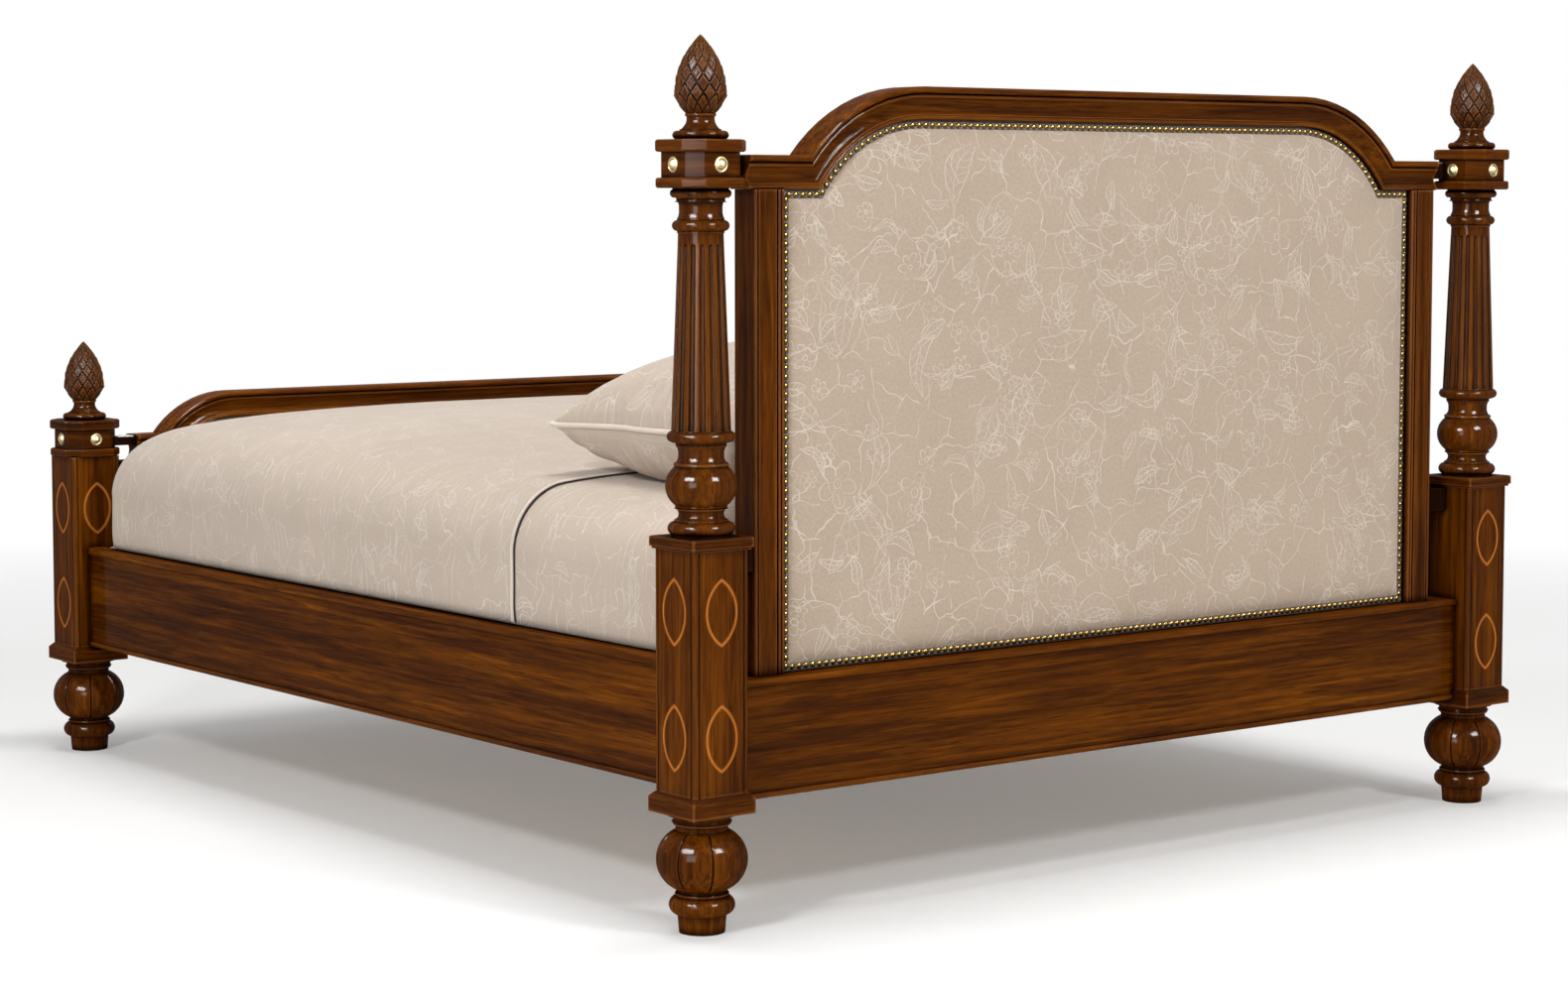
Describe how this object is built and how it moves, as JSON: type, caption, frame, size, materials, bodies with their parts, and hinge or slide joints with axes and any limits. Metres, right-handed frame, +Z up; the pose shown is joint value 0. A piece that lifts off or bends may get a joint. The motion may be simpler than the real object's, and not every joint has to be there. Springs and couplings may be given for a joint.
{
  "type": "upholstered bed",
  "caption": "Upholstered bed with turned posts, carved pine cone finials, arched nailed headboard and footboard panels, side rails, slatted base, mattress, coverlet and pillows.",
  "frame": {"origin": "middle of the footprint on the floor, under the middle of the bed", "axes": "+Y runs from the foot to the head of the bed, +X to the side on the left of a sleeper lying on their back, +Z up"},
  "size_m": [1.958, 2.303, 1.4065],
  "materials": {
    "walnut": "gloss",
    "dark_walnut": "satin",
    "inlay": "gloss",
    "pine": "matte",
    "brass_boss": "polished",
    "steel": "satin",
    "upholstery": "matte",
    "mattress_cover": "matte",
    "foundation_cloth": "matte",
    "coverlet_cloth": "matte",
    "pillow_cloth": "matte"
  },
  "bodies": {
    "root": {"bun_foot_hl": "walnut", "bun_foot_hr": "walnut", "bun_foot_fl": "walnut", "bun_foot_fr": "walnut", "plinth_hl": "walnut", "plinth_hr": "walnut", "plinth_fl": "walnut", "plinth_fr": "walnut", "post_block_hl": "walnut", "post_block_hr": "walnut", "post_block_fl": "walnut", "post_block_fr": "walnut", "block_cap_hl": "walnut", "block_cap_hr": "walnut", "column_hl": "walnut", "column_hr": "walnut", "collar_hl": "walnut", "collar_hr": "walnut", "collar_fl": "walnut", "collar_fr": "walnut", "finial_hl": "walnut", "finial_hr": "walnut", "finial_fl": "walnut", "finial_fr": "walnut", "collar_bosses": "brass_boss", "inlay_ovals": "inlay", "head_crown": "walnut", "head_stile_l": "walnut", "head_stile_r": "walnut", "head_bottom_rail": "walnut", "head_core": "pine", "head_pad_front": "upholstery", "head_pad_back": "upholstery", "head_tenons": "dark_walnut", "head_spacers": "dark_walnut", "foot_crown": "walnut", "foot_stile_l": "walnut", "foot_stile_r": "walnut", "foot_bottom_rail": "walnut", "foot_core": "pine", "foot_pad_inner": "upholstery", "foot_pad_outer": "upholstery", "foot_tenons": "dark_walnut", "foot_spacers": "dark_walnut", "crown_brackets": "steel", "side_rail_l": "walnut", "side_rail_r": "walnut", "side_cleat_l": "pine", "side_cleat_r": "pine", "rail_hooks": "steel", "post_keepers": "steel", "slats_across": "pine", "centre_beam": "pine", "centre_leg": "pine", "foundation": "foundation_cloth", "mattress": "mattress_cover", "coverlet": "coverlet_cloth", "pillow_l": "pillow_cloth", "pillow_r": "pillow_cloth"}
  },
  "joints": []
}
